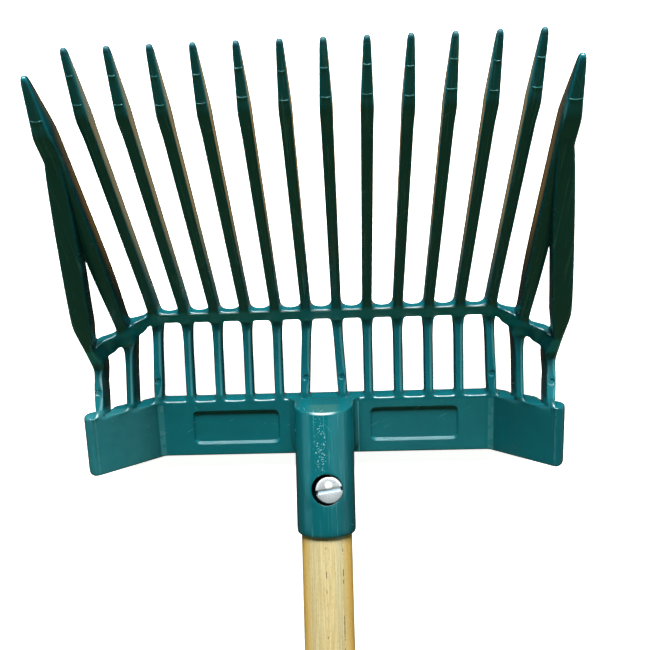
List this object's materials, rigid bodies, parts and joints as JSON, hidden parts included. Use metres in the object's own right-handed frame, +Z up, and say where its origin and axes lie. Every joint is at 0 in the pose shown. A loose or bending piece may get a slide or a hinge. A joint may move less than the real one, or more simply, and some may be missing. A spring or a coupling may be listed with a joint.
{
  "type": "stable fork",
  "caption": "long-handled stable fork: a moulded plastic head with folded wings and a comb of angled tines, screwed onto a round wooden handle",
  "frame": {"origin": "on the floor under the middle of the fork's box, with the fork lying on its back", "axes": "+Y along the handle towards the tines, +X across the head, +Z up out of its hollow side"},
  "size_m": [0.2632, 1.0742, 0.1553],
  "materials": {
    "head_plastic": "semi-gloss moulded polypropylene, dark teal",
    "ash_wood": "bare turned pale wood with fine straight grain",
    "zinc_steel": "bright zinc plated steel"
  },
  "bodies": {
    "root": {"handle": "ash_wood", "socket": "head_plastic", "fixing_screw": "zinc_steel", "nut": "zinc_steel", "back_plate": "head_plastic", "crossbar": "head_plastic", "left_wing": "head_plastic", "right_wing": "head_plastic", "left_crossbar": "head_plastic", "right_crossbar": "head_plastic", "left_post": "head_plastic", "right_post": "head_plastic", "left_brace": "head_plastic", "right_brace": "head_plastic", "short_bar_01": "head_plastic", "short_bar_02": "head_plastic", "short_bar_03": "head_plastic", "short_bar_04": "head_plastic", "short_bar_05": "head_plastic", "short_bar_06": "head_plastic", "short_bar_07": "head_plastic", "short_bar_08": "head_plastic", "short_bar_09": "head_plastic", "short_bar_10": "head_plastic", "short_bar_11": "head_plastic", "short_bar_12": "head_plastic", "short_bar_13": "head_plastic", "short_bar_14": "head_plastic", "short_bar_15": "head_plastic", "short_bar_16": "head_plastic", "tine_01": "head_plastic", "tine_02": "head_plastic", "tine_03": "head_plastic", "tine_04": "head_plastic", "tine_05": "head_plastic", "tine_06": "head_plastic", "tine_07": "head_plastic", "tine_08": "head_plastic", "tine_09": "head_plastic", "tine_10": "head_plastic", "tine_11": "head_plastic", "tine_12": "head_plastic", "tine_13": "head_plastic", "tine_14": "head_plastic"}
  },
  "joints": []
}
